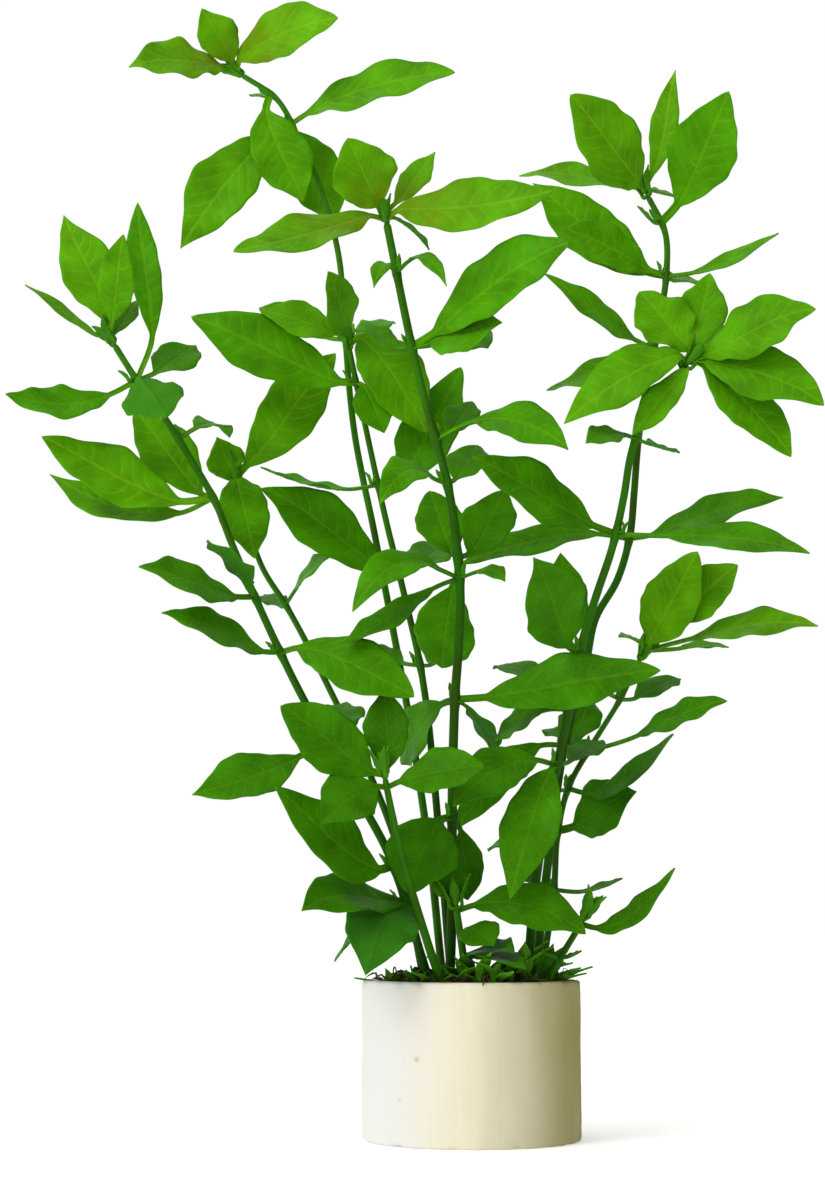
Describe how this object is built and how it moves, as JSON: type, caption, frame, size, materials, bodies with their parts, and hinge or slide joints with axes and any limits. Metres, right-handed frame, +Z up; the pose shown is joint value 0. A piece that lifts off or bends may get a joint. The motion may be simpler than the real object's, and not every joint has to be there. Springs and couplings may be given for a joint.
{
  "type": "potted hygrophila",
  "caption": "Bushy stem plant with lance-shaped leaves in opposite pairs, rooted in a plug inside a small straight-sided ceramic pot.",
  "frame": {"origin": "centre of the pot's flat base", "axes": "+Z up along the pot, +X to the right seen from the front, -Y to the front"},
  "size_m": [0.147, 0.0762, 0.2209],
  "materials": {
    "ceramic": "unglazed, porous, cream with faint upright streaks",
    "plug": "dark fibrous growing medium with bits of moss and debris",
    "stem": "smooth, fleshy, dark green",
    "leaf": "thin, softly shining, bright green with pale net-like veins"
  },
  "bodies": {
    "root": {"ceramic_pot": "ceramic", "growing_plug": "plug", "shoot_10": "leaf", "shoot_11": "leaf", "shoot_1_crown": "leaf", "shoot_1_leaves_1": "leaf", "shoot_1_leaves_2": "leaf", "shoot_1_leaves_3": "leaf", "shoot_1_leaves_4": "leaf", "shoot_1_leaves_5": "leaf", "shoot_1_leaves_6": "leaf", "shoot_1_leaves_7": "leaf", "shoot_1_leaves_8": "leaf", "shoot_1_stem": "stem", "shoot_2_crown": "leaf", "shoot_2_leaves_1": "leaf", "shoot_2_stem": "stem", "shoot_3_crown": "leaf", "shoot_3_leaves_1": "leaf", "shoot_3_leaves_2": "leaf", "shoot_3_leaves_3": "leaf", "shoot_3_stem": "stem", "shoot_4_crown": "leaf", "shoot_4_leaves_1": "leaf", "shoot_4_leaves_2": "leaf", "shoot_4_leaves_3": "leaf", "shoot_4_leaves_4": "leaf", "shoot_4_leaves_5": "leaf", "shoot_4_leaves_6": "leaf", "shoot_4_leaves_7": "leaf", "shoot_4_leaves_8": "leaf", "shoot_4_stem": "stem", "shoot_5_crown": "leaf", "shoot_5_leaves_1": "leaf", "shoot_5_leaves_2": "leaf", "shoot_5_leaves_3": "leaf", "shoot_5_leaves_4": "leaf", "shoot_5_stem": "stem", "shoot_6_crown": "leaf", "shoot_6_leaves_1": "leaf", "shoot_6_leaves_2": "leaf", "shoot_6_leaves_3": "leaf", "shoot_6_leaves_4": "leaf", "shoot_6_leaves_5": "leaf", "shoot_6_stem": "stem", "shoot_7_crown": "leaf", "shoot_7_leaves_1": "leaf", "shoot_7_leaves_2": "leaf", "shoot_7_leaves_3": "leaf", "shoot_7_leaves_4": "leaf", "shoot_7_leaves_5": "leaf", "shoot_7_stem": "stem", "shoot_8_crown": "leaf", "shoot_8_leaves_1": "leaf", "shoot_8_leaves_2": "leaf", "shoot_8_leaves_3": "leaf", "shoot_8_leaves_4": "leaf", "shoot_8_leaves_5": "leaf", "shoot_8_stem": "stem", "shoot_9": "leaf"}
  },
  "joints": []
}
